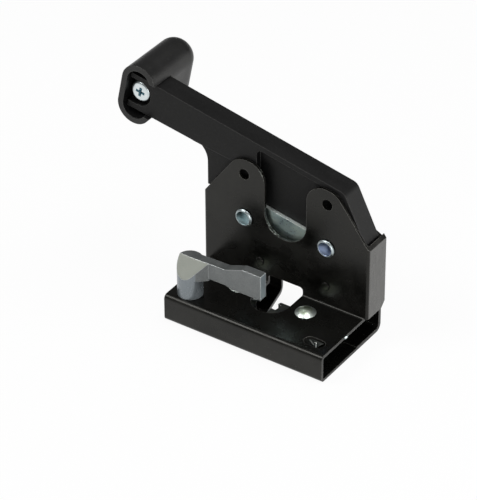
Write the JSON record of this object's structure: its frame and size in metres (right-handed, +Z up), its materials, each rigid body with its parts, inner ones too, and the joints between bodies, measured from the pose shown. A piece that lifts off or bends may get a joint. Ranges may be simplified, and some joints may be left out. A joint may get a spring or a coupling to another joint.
{
  "type": "door latch",
  "caption": "Rotary-claw door latch in a folded steel box, with an upright slotted back plate, a cast release arm and a long inside lever that ends in a hollow moulded grip.",
  "frame": {"origin": "on the box's flat underside, on the centre line of the striker mouth, level with the release spindle", "axes": "+X along the box, away from the grip; +Y towards the back plate where the striker enters; +Z up"},
  "size_m": [0.1513, 0.0785, 0.1175],
  "materials": {
    "case": "satin black powder coat",
    "moulding": "fine textured black moulding",
    "zinc": "bright zinc plate",
    "cast": "satin grey zinc casting",
    "spring_steel": "drawn wire",
    "brass": "turned"
  },
  "bodies": {
    "housing": {"front_case": "case", "back_case": "case", "pivot_rivet": "zinc", "stop_rivet": "zinc", "pivot_bush": "zinc", "stop_bush": "zinc", "claw_rivet": "zinc", "claw_bush": "zinc", "claw_washer": "zinc", "pawl_rivet": "zinc", "pawl_bush": "zinc", "pawl_washer": "zinc", "claw_spring": "spring_steel", "pawl_spring": "spring_steel", "lever_spring": "spring_steel"},
    "lever_body": {"lever": "moulding", "cam_plate": "zinc", "plate_screws": "zinc", "grip": "moulding", "grip_screw": "zinc", "grip_insert": "brass"},
    "release_body": {"release_arm": "cast", "release_crank": "zinc", "spindle_clip": "zinc"},
    "claw_body": {"claw": "zinc"},
    "pawl_body": {"pawl": "zinc"}
  },
  "joints": [
    {"name": "lever_lift", "type": "hinge", "parent": "housing", "child": "lever_body", "pos_m": [0.0246, 0.038, 0.0502], "axis": [0, 1, 0], "range_deg": [0, 8], "stiffness_Nm_per_rad": 0.3, "springref_deg": -17.19},
    {"name": "release_turn", "type": "hinge", "parent": "housing", "child": "release_body", "pos_m": [-0.0375, 0, 0.01], "axis": [0, 0, 1], "range_deg": [0, 8.64]},
    {"name": "pawl_turn", "type": "hinge", "parent": "housing", "child": "pawl_body", "pos_m": [-0.02, 0.0186, 0.005], "axis": [0, 0, 1], "range_deg": [-5.9, 0]},
    {"name": "claw_turn", "type": "hinge", "parent": "housing", "child": "claw_body", "pos_m": [0.02, 0.0186, 0.005], "axis": [0, 0, 1], "range_deg": [0, 60], "stiffness_Nm_per_rad": 0.02, "springref_deg": -20.05}
  ],
  "couplings": [
    {"joint": "release_turn", "follows": "lever_lift", "ratio": 1.08},
    {"joint": "pawl_turn", "follows": "lever_lift", "ratio": -0.7375}
  ]
}
